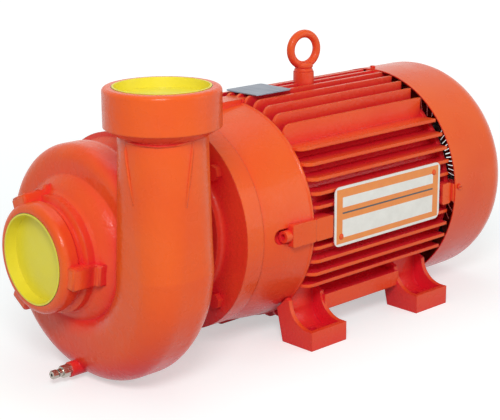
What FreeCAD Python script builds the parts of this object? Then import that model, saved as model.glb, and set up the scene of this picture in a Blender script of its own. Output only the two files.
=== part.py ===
"""Close-coupled industrial centrifugal pump on a finned, foot-mounted electric motor.

Millimetres. X runs along the shaft with the suction port at -X and the motor fan at +X, Z is up
and -Y is the side with the name plate. The origin is the centre of the four foot bolt holes, on
the plane that the feet stand on. Angles round the shaft start at -Y and turn through +Z.
"""
import FreeCAD, Part
import math
import os

V = FreeCAD.Vector

# Share of a rounded corner's radius at which the middle of its arc lies
BEND = 1 - math.sqrt(0.5)

# Motor mounting
shaft_height = 158.75
foot_pitch_x = 209.55
foot_pitch_y = 254.0
foot_hole_radius = 6.75
foot_length = 65.5
foot_width_overall = 317.0
foot_block_height = 25.5
foot_lip = 7.0
foot_web_thickness = 6.5
foot_sweep_run = 42.0
foot_sweep_rise = 33.0
foot_root_run = 80.0
foot_root_rise = 50.0
foot_root_depth = 14.0
foot_inner_run = 22.0
foot_inner_slope = 12.0
foot_knee_rise = 24.0
scoop_floor = 15.0
scoop_edge = 3.0
scoop_floor_end = 8.0
scoop_wall_run = 24.0
scoop_wall_rise = 24.0
rail_height = 21.0
rail_bottom = 33.0
rail_thickness = 10.0
rail_outer_y = 122.0
rail_flange_y = 84.0
rail_flange = 8.0
rail_sink = 3.0

# Clearances and fits
running_gap = 0.05
loose_gap = 0.3
seat_gap = 0.02

# Stations along the shaft, chained from the front of the finned frame
frame_front_x = -123.0
frame_length = 272.0
bell_length = 81.0
adapter_ring = 28.0
adapter_length = 104.0
casing_back_to_mid = 59.0
suction_reach = 86.7

frame_rear_x = frame_front_x + frame_length
bell_front_x = frame_front_x - bell_length
ring_front_x = bell_front_x - adapter_ring
casing_back_x = bell_front_x - adapter_length
mid_x = casing_back_x - casing_back_to_mid
suction_face_x = mid_x - suction_reach

# Motor frame
barrel_bore = 120.0
barrel_wall = 11.0
fin_envelope = 156.0
side_fin_reach = 146.0
top_fin_reach = 155.5
bottom_fin_reach = 143.0
fin_pitch = 18.0
fin_thickness = 4.6
fin_nose_radius = 14.0
fin_nose_share = 0.8
fin_root_sink = 3.0
lug_half_width = 15.0
lug_corner = 3.0
lug_sink = 8.0
lug_length = 31.0
rear_lug_length = 18.0
lug_reach = 151.5
lug_count = 4
lug_bolt_circle = 143.0
lug_bolt_radius = 5.0
lug_bolt_play = 0.5
lug_bolt_grip = 17.0
lug_tap_depth = 19.0

# Drive end shield
bell_front_radius = 137.0
bell_rear_radius = 146.0
bell_swell = 1.5
bell_bead_rise = 1.5
bell_bead_length = 4.0
bell_wall = 9.0
bell_spigot = 8.0
bell_spigot_wall = 7.0
bell_face_thickness = 13.0
bell_lug_length = 42.0
bell_cone_run = 8.0
bell_cone_rise = 10.0
bell_hub_offset = 28.0
bell_hub_wall = 11.0
bell_hub_taper = 4.0
bell_pocket_length = 12.0
bell_pocket_radius = 10.0
front_register_radius = 95.0
front_register_depth = 5.0
grease_room = 6.0
bearing_shoulder = 14.0
bearing_seat_extra = 4.0
shaft_seal_gap = 2.5
snap_ring_width = 1.9
snap_ring_inner = 3.5
snap_ring_outer = 2.4
snap_ring_play = 0.1
snap_ring_opening = 5.0

# Rear end shield and fan cover
rear_shield_radius = 141.0
rear_shield_depth = 30.0
rear_face = 6.0
rear_round = 7.0
rear_round_drop = 12.0
rear_hub_wall = 10.0
rear_hub_foot = 18.0
rear_seat_extra = 3.0
rear_cap_wall = 5.0
rear_bolt_seat = 14.0
rear_lug_half = 13.0
rear_lug_depth = 24.0
rear_pocket_radius = 9.0
cover_radius = 157.0
cover_sheet = 1.6
cover_rim_gap = 3.5
cover_length = 127.5
cover_shoulder = 42.0
cover_screw_x_in = 7.5
cover_screw_offset = 8.0
cover_screw_radius = 2.45
cover_screw_length = 6.5
cover_screw_head_radius = 3.8
cover_screw_head = 2.8
cover_screw_slot = 1.2
cover_screw_angles = [0.0, 90.0, 180.0]
cover_seat_gap = 0.15
grille_slots = 20
grille_inner = 38.0
grille_outer = 96.0
grille_slot_width = 7.0
cover_rim_x = frame_rear_x + cover_rim_gap

# Shaft, bearings, rotor and stator
pump_journal = 15.875
front_journal = 22.5
core_journal = 30.0
rear_journal = 20.0
fan_journal = 17.5
front_bearing_outer = 50.0
front_bearing_width = 25.0
rear_bearing_outer = 40.0
rear_bearing_width = 18.0
front_bearing_x = -171.0
rear_bearing_from_face = 3.0
race_share = 0.29
cage_share = 0.25
ball_count = 8
ball_start = 11.0
front_ball = 8.7
rear_ball = 5.9
ball_play = 0.08
cage_rim = 1.4
shaft_chamfer = 1.0
shaft_step_from_bell = 6.0
shaft_shoulder = 28.0
shaft_rear_shoulder = 26.0
core_journal_extra = 38.0
shaft_taper = 2.0
rear_journal_extra = 6.0
shaft_tap_radius = 5.0
shaft_tap_depth = 23.0
key_front_gap = 2.0
key_rear_gap = 13.0
core_front_x = -75.0
core_length = 160.0
rotor_radius = 78.0
air_gap = 0.6
winding_overhang = 34.0
winding_inner = 84.0
winding_outer = 113.0
winding_edge = 9.0
winding_sink = 2.0
cage_ring_length = 16.0
cage_ring_inner = 52.0
cage_ring_outer = 76.0
cage_vanes = 8
cage_vane_length = 14.0
cage_vane_half = 2.0

# Cooling fan
fan_hub_radius = 26.0
fan_hub_length = 34.0
fan_from_shield = 16.0
fan_tip_radius = 122.0
fan_disc_radius = 108.0
fan_disc_thickness = 4.0
fan_blades = 8
fan_blade_thickness = 4.0
fan_blade_height = 30.0
fan_tip_ease = 8.0
fan_tip_slope = 26.0
fan_clip_groove = 1.6
fan_clip_width = 1.5
fan_clip_depth = 1.3
fan_clip_rise = 3.0
fan_clip_opening = 4.0
fan_end_room = 5.0

# Pump casing
scroll_step = 45.0
scroll_knots = [129.0, 129.0, 129.5, 139.5, 153.0, 180.0, 194.0]
scroll_knot_start = 90.0
scroll_start = 20.0
scroll_half_width_start = 22.0
scroll_half_width_end = 51.0
scroll_corner_start = 14.0
scroll_corner_end = 37.0
scroll_inner = 60.0
scroll_stations = 17
casing_wall = 8.0
corner_loss = 0.7
passage_start = 36.0
passage_inner = 70.0
passage_stations = 15
tongue_radius = 103.0
passage_growth = 0.2
throat_radius = 102.0
throat_half_width = 17.0
neck_turn_height = 0.45
neck_turn_share = 0.55
discharge_y = -144.5
discharge_top_z = 375.0
discharge_collar_radius = 67.5
discharge_collar_height = 45.0
discharge_neck_radius = 51.5
collar_chamfer = 10.0
port_bore = 56.4
port_depth = 38.0
port_passage = 47.0
suction_collar_radius = 68.0
suction_edge_radius = 9.0
collar_edge_radius = 5.0
collar_sink = 6.0
nose_collar_length = 19.0
nose_groove_length = 8.0
nose_groove_depth = 3.0
nose_ring_rise = 4.5
nose_ring_length = 10.0
dome_foot_rise = 3.5
dome_length = 68.0
dome_rise = 36.0
dome_back_run = 18.0
casing_flange_radius = 134.0
casing_flange_thickness = 14.0
flange_back_step = 6.0
casing_bolt_circle = 118.0
casing_bolt_count = 8
casing_bolt_start = 22.5
casing_bolt_radius = 6.0
casing_bolt_grip = 13.0
wrench_lug_width = 26.0
wrench_lug_start = 9.0
wrench_lug_second = 30.0
wrench_lug_third = 45.0
wrench_lug_end = 62.0
wrench_lug_rise = 5.0
wrench_lug_sink = 12.0
wrench_lug_angles = [-8.0, 114.0, 238.0]
back_lug_angle = 149.0
back_lug_reach = 140.0
back_lug_length = 22.0
back_lug_width = 18.0
drain_y = -20.0
drain_z = 15.5
drain_boss_radius = 9.5
drain_boss_x = -420.0
drain_bore = 5.0
drain_depth = 40.0

# Port caps
cap_wall = 2.2
cap_skirt = 30.0
cap_taper = 0.6
cap_rim_proud = 0.6
suction_cap_recess = 14.0
discharge_cap_recess = 11.0

# Impeller, wear ring and shaft seal
impeller_radius = 82.5
chamber_radius = 88.0
outlet_width = 20.0
shroud_thickness = 4.0
eye_radius = 43.0
eye_neck_radius = 50.0
eye_neck_length = 12.0
eye_length = 16.0
eye_blend = 9.0
wear_ring_wall = 8.0
wear_ring_gap = 0.4
wear_ring_length = 16.0
wear_ring_shoulder = 4.0
impeller_hub_radius = 24.0
hub_nose_radius = 19.5
hub_flare_radius = 50.0
hub_nose_length = 8.0
hub_rear_length = 14.0
vane_count = 6
vane_thickness = 5.0
vane_inner_radius = 36.0
vane_sweep = 75.0
key_width = 6.3
key_height = 6.4
key_depth = 3.35
seal_bore = 34.0
seal_head_radius = 28.0
seal_head_length = 9.0
seal_collar_length = 6.0
seat_outer = 26.0
seat_length = 9.0
seat_step = 3.0
seat_clearance = 1.5
washer_radius = 21.0
washer_thickness = 3.0
impeller_bolt_radius = 4.98
impeller_bolt_flats = 17.0
impeller_bolt_head = 7.0
impeller_bolt_length = 22.0
bellows_radius = 24.0
bellows_fold = 4.0
bellows_folds = 3
bellows_wall = 1.2

# Adapter bracket
cover_plate_front = 19.0
cover_plate_thickness = 12.0
seal_housing_wall = 11.0
shaft_clearance = 2.2
bolt_clearance = 0.6
adapter_flange = 14.0
adapter_body_radius = 95.0
adapter_inner_radius = 83.0
adapter_blend = 6.0
adapter_ring_radius = 139.5
adapter_window_length = 42.0
adapter_window_half_height = 56.0
adapter_window_corner = 8.0
weep_hole_radius = 6.0
adapter_bolt_circle = 118.0
adapter_bolt_radius = 6.0
adapter_bolt_count = 4
adapter_bolt_start = 45.0
adapter_bolt_grip = 12.0
slinger_from_casing = 30.0
slinger_hub_radius = 22.0
slinger_radius = 32.0
slinger_thickness = 2.0
slinger_cone = 3.0

# Drain cock
drain_thread = 12.0
drain_hex_length = 12.0
drain_hex_flats = 13.5
drain_nose_length = 5.0
drain_nose_radius = 5.2
stem_radius = 3.0
stem_play = 0.1
stem_sink = 7.0
stem_proud = 2.0
stem_hex_length = 7.5
stem_hex_flats = 9.5
stem_outlet = 1.9
stem_outlet_depth = 10.5

# Bolts, as shares of the shank's radius
hex_flats = 3.0
hex_head = 1.3
hex_chamfer = 0.56
socket_head = 2.0
socket_head_radius = 1.6
socket_flats = 1.6

# Top and side details
eye_bolt_x = 7.0
eye_ring_centre_z = 360.0
eye_ring_mean_radius = 21.6
eye_ring_tube = 5.6
eye_turn = 10.0
eye_boss_radius = 14.3
eye_boss_top = 330.0
eye_boss_sink = 6.0
eye_collar_radius = 13.0
eye_collar_height = 12.0
eye_collar_groove = 1.2
eye_shank_radius = 7.0
eye_shank_length = 24.0
top_plate_x = -79.0
top_plate_length = 66.0
top_plate_width = 60.0
top_plate_thickness = 1.5
top_plate_corner = 4.0
side_plate_z = 167.0
side_plate_gap = 5.0
side_plate_proud = 2.0
side_plate_height = 80.0
side_plate_thickness = 1.2
side_plate_corner = 9.0
side_plate_length = frame_length - lug_length - rear_lug_length - 2 * side_plate_gap
side_plate_x = frame_front_x + lug_length + side_plate_gap + side_plate_length / 2
rivet_from_edge = 13.0
rivet_radius = 1.95
rivet_hole = 2.1
rivet_head = 4.2
rivet_crown = 2.4
rivet_rise = 1.8
rivet_depth = 7.0
rivet_pad_radius = 7.0
rivet_pad_sink = 7.0

# Terminal box on the far side
box_x = 20.0
box_length = 152.0
box_height = 122.0
box_depth = 66.0
box_corner = 14.0
box_wall = 5.0
box_lid = 7.0
box_lid_edge = 2.5
box_gasket = 1.5
gasket_edge = 0.5
box_pad_proud = 4.0
box_pad_half = 36.0
box_pad_sink = 14.0
box_wire_hole = 19.0
box_post_radius = 7.5
box_post_inset = 10.0
box_screw_radius = 2.5
box_screw_grip = 8.0
box_screw_hole = 2.8
box_screw_head_radius = 5.0
box_screw_head = 3.2
box_screw_slot = 1.2
box_screw_room = 14.0
conduit_hole = 21.1
conduit_wall = 6.0
conduit_hub_length = 8.0
hold_screw_radius = 3.0
hold_screw_play = 0.2
hold_screw_grip = 10.0
hold_screw_inset = 8.0
hold_screw_head_radius = 5.0
hold_screw_head = 4.0
block_from_middle = 51.0
block_half_width = 11.0
block_half_height = 38.0
block_depth = 14.0
block_edge = 2.0
stud_pitch = 24.0
stud_from_middle = 5.0
stud_radius = 2.0
stud_length = 12.0
stud_nut_flats = 6.5
stud_nut_length = 3.0
box_pad_reach = side_fin_reach + box_pad_proud
screw_slot_half = 0.7

PARTS = []


def save(name, *solids):
    """Keep the solids of one named piece."""
    shape = solids[0] if len(solids) == 1 else Part.makeCompound(list(solids))
    PARTS.append((name, shape))


def spot(x, radius, angle):
    """A point at a radius and angle round the shaft."""
    turn = math.radians(angle)
    return V(x, -radius * math.cos(turn), shaft_height + radius * math.sin(turn))


def outline(path, place):
    """A closed wire: two numbers are a corner, four are an arc through the first pair to the second."""
    edges = []
    here = place(*path[0][:2])
    for step in path[1:] + [path[0]]:
        goal = place(*step[-2:])
        if len(step) == 4:
            edges.append(Part.Arc(here, place(*step[:2]), goal).toShape())
        elif here.distanceToPoint(goal) > 1e-6:
            edges.append(Part.LineSegment(here, goal).toShape())
        here = goal
    return Part.Wire(edges)


def turned(path):
    """A solid of revolution about the shaft from an (x, radius) path."""
    face = Part.Face(outline(path, lambda x, r: V(x, 0, shaft_height + r)))
    return face.revolve(V(0, 0, shaft_height), V(1, 0, 0), 360)


def turned_up(x, y, path):
    """A solid of revolution about an upright line from a (radius, z) path."""
    face = Part.Face(outline(path, lambda r, z: V(x + r, y, z)))
    return face.revolve(V(x, y, 0), V(0, 0, 1), 360)


def along_x(x, length, radius, y=0.0, z=None):
    return Part.makeCylinder(radius, length, V(x, y, shaft_height if z is None else z), V(1, 0, 0))


def along_y(x, y, z, length, radius):
    return Part.makeCylinder(radius, length, V(x, y, z), V(0, 1, 0))


def along_z(x, y, z, length, radius):
    return Part.makeCylinder(radius, length, V(x, y, z))


def ring_x(x, length, inner, outer):
    return along_x(x, length, outer).cut(along_x(x - 1, length + 2, inner))


def block(x, y, z, corner=0.0):
    """A box between limits, with its edges along Y rounded when a corner radius is given."""
    box = Part.makeBox(x[1] - x[0], y[1] - y[0], z[1] - z[0], V(x[0], y[0], z[0]))
    if corner:
        box = box.makeFillet(corner, [e for e in box.Edges if abs(e.tangentAt(e.FirstParameter).y) > 0.9])
    return box


def hexagon(x, length, across_flats, y, z):
    radius = across_flats / math.sqrt(3)
    corners = [V(x, y + radius * math.cos(math.radians(a)), z + radius * math.sin(math.radians(a)))
               for a in range(0, 360, 60)]
    return Part.Face(Part.makePolygon(corners + corners[:1])).extrude(V(length, 0, 0))


def round_shaft(shape, angle):
    """A copy turned about the shaft, positive from -Y towards +Z."""
    copy = shape.copy()
    copy.rotate(V(0, 0, shaft_height), V(1, 0, 0), -angle)
    return copy


def ring_of(shape, count, start=0.0):
    return [round_shaft(shape, start + i * 360.0 / count) for i in range(count)]


def clean(shape):
    return shape.removeSplitter()


# Volute casing

def scroll_reach(angle):
    """Outer radius of the casing at an angle, a smooth curve through the knots."""
    place = max(0.0, (angle - scroll_knot_start) / scroll_step)
    i = min(int(place), len(scroll_knots) - 2)
    t = place - i
    p1, p2 = scroll_knots[i], scroll_knots[i + 1]
    p0 = scroll_knots[max(i - 1, 0)]
    p3 = scroll_knots[min(i + 2, len(scroll_knots) - 1)]
    return p1 + 0.5 * t * (p2 - p0 + t * (2 * p0 - 5 * p1 + 4 * p2 - p3 + t * (3 * (p1 - p2) + p3 - p0)))


def scroll_share(angle):
    return (angle - scroll_start) / (360.0 - scroll_start)


def scroll_section(angle, reach, half_width, corner, inner):
    """A rounded section of the scroll in the plane that holds the shaft."""
    bend = corner * BEND
    near, far = mid_x - half_width, mid_x + half_width
    inner = max(inner, reach - 2 * half_width)
    path = [(near, inner + corner), (near, reach - corner), (near + bend, reach - bend, near + corner, reach),
            (far - corner, reach), (far - bend, reach - bend, far, reach - corner), (far, inner + corner),
            (far - bend, inner + bend, far - corner, inner), (near + corner, inner),
            (near + bend, inner + bend, near, inner + corner)]
    return outline(path, lambda x, r: spot(x, r, angle))


def scroll_sizes(angle):
    share = scroll_share(angle)
    half = scroll_half_width_start + (scroll_half_width_end - scroll_half_width_start) * share
    corner = scroll_corner_start + (scroll_corner_end - scroll_corner_start) * share
    return scroll_reach(angle), half, corner


def scroll_outer():
    wires = []
    for i in range(scroll_stations):
        angle = scroll_start + (360.0 - scroll_start) * i / (scroll_stations - 1)
        reach, half, corner = scroll_sizes(angle)
        wires.append(scroll_section(angle, reach, half, corner, scroll_inner))
    return Part.makeLoft(wires, True, False)


def scroll_passage():
    """The water's way round the impeller, growing from the tongue to the neck."""
    wires = []
    for i in range(passage_stations):
        angle = passage_start + (360.0 - passage_start) * i / (passage_stations - 1)
        reach, half, corner = scroll_sizes(angle)
        inside = reach - casing_wall
        if angle <= 180.0:
            inside = min(inside, tongue_radius + passage_growth * (angle - passage_start))
        wires.append(scroll_section(angle, inside, half - casing_wall, corner - corner_loss * casing_wall,
                                    passage_inner))
    return Part.makeLoft(wires, True, False)


def neck_loft(radius, wall, top_z):
    """The straight discharge neck: a rounded square at shaft height becomes a circle at the collar."""
    reach, half, corner = scroll_sizes(360.0)
    half = half - wall
    far = -(reach - wall)
    near = far + 2 * half
    corner = corner - corner_loss * wall
    wires = []
    heights = [shaft_height, shaft_height + neck_turn_height * (top_z - shaft_height), top_z]
    for share, z in zip((0.0, neck_turn_share, 1.0), heights):
        cy = (far + near) / 2 * (1 - share) + discharge_y * share
        side = half * (1 - share) + radius * share
        r = corner * (1 - share) + (radius - 0.05) * share
        b = r * BEND
        x0, x1, y0, y1 = mid_x - side, mid_x + side, cy - side, cy + side
        path = [(x0, y0 + r), (x0 + b, y0 + b, x0 + r, y0), (x1 - r, y0), (x1 - b, y0 + b, x1, y0 + r),
                (x1, y1 - r), (x1 - b, y1 - b, x1 - r, y1), (x0 + r, y1), (x0 + b, y1 - b, x0, y1 - r)]
        wires.append(outline(path, lambda a, c, z=z: V(a, c, z)))
    return Part.makeLoft(wires, True, False)


def collar_solid():
    """Round discharge collar with an eased top edge and a chamfer down to the neck."""
    base = discharge_top_z - discharge_collar_height
    top, big, edge = discharge_top_z, discharge_collar_radius, collar_edge_radius
    step = big - discharge_neck_radius
    low = base - collar_chamfer * (step + collar_sink) / step
    path = [(0.0, low), (discharge_neck_radius - collar_sink, low), (big, base), (big, top - edge),
            (big - edge * BEND, top - edge * BEND, big - edge, top), (0.0, top)]
    return turned_up(mid_x, discharge_y, path)


def nozzle_profile():
    """Suction collar, groove, stepped rings and the front dome, then the back cone and flange."""
    f, big, edge = suction_face_x, suction_collar_radius, suction_edge_radius
    back = casing_back_x
    flange = back - casing_flange_thickness
    groove = f + nose_collar_length
    low = big - nose_groove_depth
    ring = big + nose_ring_rise
    ring_start = groove + nose_groove_length + nose_groove_depth
    ring_end = ring_start + nose_ring_length
    foot_x = ring_end + dome_foot_rise
    foot_r = ring + dome_foot_rise
    top_x, top_r = f + dome_length, big + dome_rise
    bulge_x, bulge_r = foot_x + (top_x - foot_x) * 0.25, foot_r + (top_r - foot_r) * 0.35
    return [(f, 0.0), (f, big - edge), (f + edge * BEND, big - edge * BEND, f + edge, big),
            (groove, big), (groove + nose_groove_depth, low), (groove + nose_groove_length, low),
            (ring_start, ring), (ring_end, ring), (foot_x, foot_r),
            (bulge_x, bulge_r, foot_x + (top_x - foot_x) * 0.64, foot_r + (top_r - foot_r) * 0.68),
            (top_x, top_r), (mid_x + dome_back_run, top_r), (flange, casing_flange_radius - flange_back_step),
            (flange, casing_flange_radius), (back, casing_flange_radius), (back, 0.0)]


def wrench_lugs():
    """Stepped ribs along the suction collar, where a strap or bar holds it."""
    f, big = suction_face_x, suction_collar_radius
    low = big - wrench_lug_sink
    steps = [(wrench_lug_start, wrench_lug_rise), (wrench_lug_second, wrench_lug_rise * 2),
             (wrench_lug_third, wrench_lug_rise * 3)]
    path = [(f + wrench_lug_start, low)]
    height = 0.0
    for place, rise in steps:
        if height:
            path.append((f + place - 2, big + height))
        path.append((f + place, big + rise))
        height = rise
    path += [(f + wrench_lug_end, big + height), (f + wrench_lug_end, low)]
    face = Part.Face(outline(path, lambda x, r: V(x, -r, shaft_height - wrench_lug_width / 2)))
    rib = face.extrude(V(0, 0, wrench_lug_width))
    return [round_shaft(rib, a) for a in wrench_lug_angles]


def eye_front_x():
    """Where the impeller's eye begins, just behind the casing's wear ring shoulder."""
    return mid_x - outlet_width / 2 - shroud_thickness - eye_length


def casing():
    body = turned(nozzle_profile())
    neck_top = discharge_top_z - discharge_collar_height - collar_chamfer + 1.0
    body = body.fuse([scroll_outer(), neck_loft(discharge_neck_radius, 0.0, neck_top), collar_solid()])
    drain_reach = mid_x - drain_boss_x - scroll_half_width_start / 2
    drain = along_x(drain_boss_x, drain_reach, drain_boss_radius, drain_y, drain_z)
    lug_z = (shaft_height - back_lug_width / 2, shaft_height + back_lug_width / 2)
    back_lug = block((mid_x + 4, mid_x + 4 + back_lug_length), (-back_lug_reach, -back_lug_reach + 30), lug_z)
    body = body.fuse(wrench_lugs() + [drain, round_shaft(back_lug, back_lug_angle)])
    f = suction_face_x
    shoulder = eye_front_x() - wear_ring_shoulder
    ring_end = shoulder + wear_ring_length
    inlet = turned([(f - 1, 0.0), (f - 1, port_bore), (f + port_depth, port_bore), (f + port_depth, port_passage),
                    (shoulder, port_passage), (shoulder, wear_outer()), (ring_end, wear_outer()),
                    (ring_end + 1, chamber_radius), (casing_back_x + 1, chamber_radius), (casing_back_x + 1, 0.0)])
    port = along_z(mid_x, discharge_y, discharge_top_z - port_depth, port_depth + 1, port_bore)
    neck_bore_top = discharge_top_z - port_depth + 1
    body = body.cut(inlet)
    body = body.cut(scroll_passage())
    body = body.cut(ring_x(mid_x - throat_half_width, 2 * throat_half_width, passage_inner, throat_radius))
    body = body.cut(neck_loft(discharge_neck_radius - casing_wall, casing_wall, neck_bore_top))
    body = body.cut(port)
    bolt_hole = along_x(casing_back_x - casing_bolt_grip - 1, casing_bolt_grip + 2, casing_bolt_radius + seat_gap,
                        -casing_bolt_circle)
    body = body.cut(Part.makeCompound(ring_of(bolt_hole, casing_bolt_count, casing_bolt_start)))
    return body.cut(along_x(drain_boss_x - 1, drain_depth, drain_bore, drain_y, drain_z))


def wear_outer():
    return eye_neck_radius + wear_ring_gap + wear_ring_wall


def wear_ring():
    start = eye_front_x() - wear_ring_shoulder + seat_gap
    return ring_x(start, wear_ring_length - 1, eye_neck_radius + wear_ring_gap, wear_outer() - seat_gap)


def cap(recess):
    """A moulded port cap as depths and radii: rim, recessed disc and a skirt that fits the port."""
    rim = port_bore - loose_gap
    inner = rim - cap_wall
    floor = recess + cap_wall
    return [(-cap_rim_proud, rim), (cap_skirt, rim - cap_taper), (cap_skirt, inner - cap_taper),
            (floor, inner - cap_taper), (floor, 0.0), (recess, 0.0), (recess, inner - 2 * cap_taper),
            (-cap_rim_proud, inner)]


def suction_cap():
    return turned([(suction_face_x + depth, r) for depth, r in cap(suction_cap_recess)])


def discharge_cap():
    return turned_up(mid_x, discharge_y, [(r, discharge_top_z - depth) for depth, r in cap(discharge_cap_recess)])


# Impeller and seal

def hub_nose_x():
    """Front end of the shaft and of the impeller's hub, where the impeller washer bears."""
    return mid_x + outlet_width / 2 - hub_nose_length


def hub_back_x():
    return mid_x + outlet_width / 2 + hub_rear_length


def impeller():
    rear = mid_x + outlet_width / 2
    front = mid_x - outlet_width / 2
    t = shroud_thickness
    eye_x = eye_front_x()
    nose, hub_back = hub_nose_x(), hub_back_x()
    half_rise = (hub_flare_radius - hub_nose_radius) * 0.47
    back = turned([(nose, 0.0), (nose, hub_nose_radius),
                   (rear - hub_nose_length * 0.375, hub_nose_radius + half_rise, rear, hub_flare_radius),
                   (rear, impeller_radius), (rear + t, impeller_radius), (rear + t, impeller_hub_radius),
                   (hub_back, impeller_hub_radius), (hub_back, 0.0)])
    bend = eye_blend * BEND
    front_shroud = turned([(eye_x, eye_radius), (eye_x, eye_neck_radius),
                           (eye_x + eye_neck_length, eye_neck_radius), (front - t - 1, eye_neck_radius + 6), (front - t, impeller_radius),
                           (front, impeller_radius), (front, eye_radius + eye_blend),
                           (front - bend, eye_radius + bend, front - eye_blend, eye_radius)])
    vanes = ring_of(vane(front - t / 2, outlet_width + t), vane_count)
    body = back.fuse([front_shroud] + vanes)
    bore = along_x(nose - 1, hub_back - nose + 2, pump_journal + seat_gap)
    half = key_width / 2 + running_gap
    keyway = block((nose - 1, hub_back + 1), (-half, half), (shaft_height, shaft_height + key_top() + 0.2))
    return body.cut(bore.fuse(keyway))


def key_top():
    """Height of the impeller key's top above the shaft's middle."""
    return pump_journal - key_depth + key_height


def vane(x, width):
    """One backward-curved vane: two arcs from the eye to the rim."""
    outer = impeller_radius - 0.5
    half = math.degrees(vane_thickness / 2 / outer)
    rows = []
    for side in (-1, 1):
        row = []
        for share in (0.0, 0.5, 1.0):
            r = vane_inner_radius + (outer - vane_inner_radius) * share
            row.append(spot(x, r, -vane_sweep * share ** 0.85 + side * half * outer / r))
        rows.append(row)
    left, right = rows
    edges = [Part.Arc(*left).toShape(), Part.LineSegment(left[2], right[2]).toShape(),
             Part.Arc(*reversed(right)).toShape(), Part.LineSegment(right[0], left[0]).toShape()]
    return Part.Face(Part.Wire(edges)).extrude(V(width, 0, 0))


def seat_front_x():
    return casing_back_x - seat_length - 1


def shaft_seal():
    """Bellows, rotating head and the fixed seat, from the impeller hub to the cover plate."""
    seat_x = seat_front_x()
    head_x = seat_x - seal_head_length
    grip = pump_journal + running_gap
    collar = head_x - seal_collar_length
    face = seal_head_radius - 4
    head = turned([(collar, grip), (collar, seal_head_radius - 3), (head_x, seal_head_radius - 3),
                   (head_x, seal_head_radius), (seat_x - 4, seal_head_radius), (seat_x - 4, face), (seat_x, face),
                   (seat_x, grip)])
    start = hub_back_x() + seat_gap
    pitch = (collar - seat_gap - start) / (2 * bellows_folds)
    folds = [(start + i * pitch, bellows_radius - bellows_fold * (i % 2)) for i in range(2 * bellows_folds + 1)]
    bellows = turned(folds + [(x, r - bellows_wall) for x, r in reversed(folds)])
    bore = pump_journal + seat_clearance
    back = casing_back_x - 1.2
    step = seat_outer - seat_step
    seat = turned([(seat_x, bore), (seat_x, step), (seat_x + seat_step, step),
                   (seat_x + seat_step, seat_outer - seat_gap), (back, seat_outer - seat_gap), (back, bore)])
    return bellows, head, seat


# Adapter bracket

def adapter():
    b, ring, rear = casing_back_x, ring_front_x, bell_front_x
    front = b - casing_back_to_mid + cover_plate_front
    flange_rear = b + adapter_flange
    spigot = chamber_radius - running_gap
    seat_x = seat_front_x()
    wall_back = front + cover_plate_thickness
    shaft_hole = pump_journal + shaft_clearance
    housing = seal_bore + seal_housing_wall
    outer, blend = adapter_body_radius, adapter_blend
    recess = rear - front_register_depth - loose_gap
    register = front_register_radius + running_gap
    body = turned([(front, seal_bore), (front, spigot), (b, spigot), (b, casing_flange_radius),
                   (flange_rear, casing_flange_radius), (flange_rear, outer + blend),
                   (flange_rear + blend * BEND, outer + blend * BEND, flange_rear + blend, outer),
                   (ring - blend, outer), (ring - blend * BEND, outer + blend * BEND, ring, outer + blend),
                   (ring, adapter_ring_radius), (rear, adapter_ring_radius), (rear, register), (recess, register),
                   (recess, adapter_inner_radius), (wall_back + cover_plate_thickness, adapter_inner_radius - 3),
                   (wall_back, adapter_inner_radius - 13), (wall_back, housing), (b + seal_housing_wall, housing),
                   (b + seal_housing_wall, shaft_hole), (b - 1, shaft_hole), (b - 1, seat_outer),
                   (seat_x + 2, seat_outer), (seat_x + 2, seal_bore)])
    mid = (flange_rear + ring) / 2
    half_x, half_z = adapter_window_length / 2, adapter_window_half_height
    window = block((mid - half_x, mid + half_x), (-casing_flange_radius, casing_flange_radius),
                   (shaft_height - half_z, shaft_height + half_z), adapter_window_corner)
    window = window.cut(along_x(mid - adapter_window_length, 2 * adapter_window_length, housing))
    weep = along_z(mid, 0, shaft_height - outer - 2, outer - adapter_inner_radius + 8, weep_hole_radius)
    body = body.cut(window.fuse(weep))
    bolt = along_x(b - 1, adapter_flange + 2, casing_bolt_radius + bolt_clearance, -casing_bolt_circle)
    body = body.cut(Part.makeCompound(ring_of(bolt, casing_bolt_count, casing_bolt_start)))
    bolt = along_x(ring - 1, adapter_ring + 2, adapter_bolt_radius + bolt_clearance, -adapter_bolt_circle)
    return body.cut(Part.makeCompound(ring_of(bolt, adapter_bolt_count, adapter_bolt_start)))


def hex_bolts(head_x, way, shank, radius, circle, count, start):
    """Hexagon-head bolts with rounded corners; way is the direction from shank to head."""
    flats, head = radius * hex_flats, radius * hex_head
    x0 = min(head_x, head_x + way * head)
    bolt = hexagon(x0, head, flats, -circle, shaft_height)
    bolt = bolt.common(along_x(x0, head, flats * hex_chamfer, -circle))
    x1 = min(head_x, head_x - way * shank)
    bolt = bolt.fuse(along_x(x1, shank, radius, -circle))
    return ring_of(clean(bolt), count, start)


def socket_bolts(head_x, way, shank):
    """Socket-head cap screws at the lugs."""
    radius, circle = lug_bolt_radius, lug_bolt_circle
    head = radius * socket_head
    x0 = min(head_x, head_x + way * head)
    bolt = along_x(x0, head, radius * socket_head_radius, -circle)
    socket_x = x0 - 1 if way < 0 else x0 + head / 2
    bolt = bolt.cut(hexagon(socket_x, head / 2 + 1, radius * socket_flats, -circle, shaft_height))
    x1 = min(head_x, head_x - way * shank)
    return ring_of(clean(bolt.fuse(along_x(x1, shank, radius, -circle))), lug_count)


# Motor frame

def fin_plate(reach, inner, front, rear, nose):
    """One fin standing out along -Y, with a rounded front corner."""
    nose = min(nose, (reach - inner) * fin_nose_share)
    b = nose * BEND
    path = [(front, -inner), (front, -(reach - nose)), (front + b, -(reach - b), front + nose, -reach),
            (rear, -reach), (rear, -inner)]
    face = Part.Face(outline(path, lambda x, y: V(x, y, -fin_thickness / 2)))
    return face.extrude(V(0, 0, fin_thickness))


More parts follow.
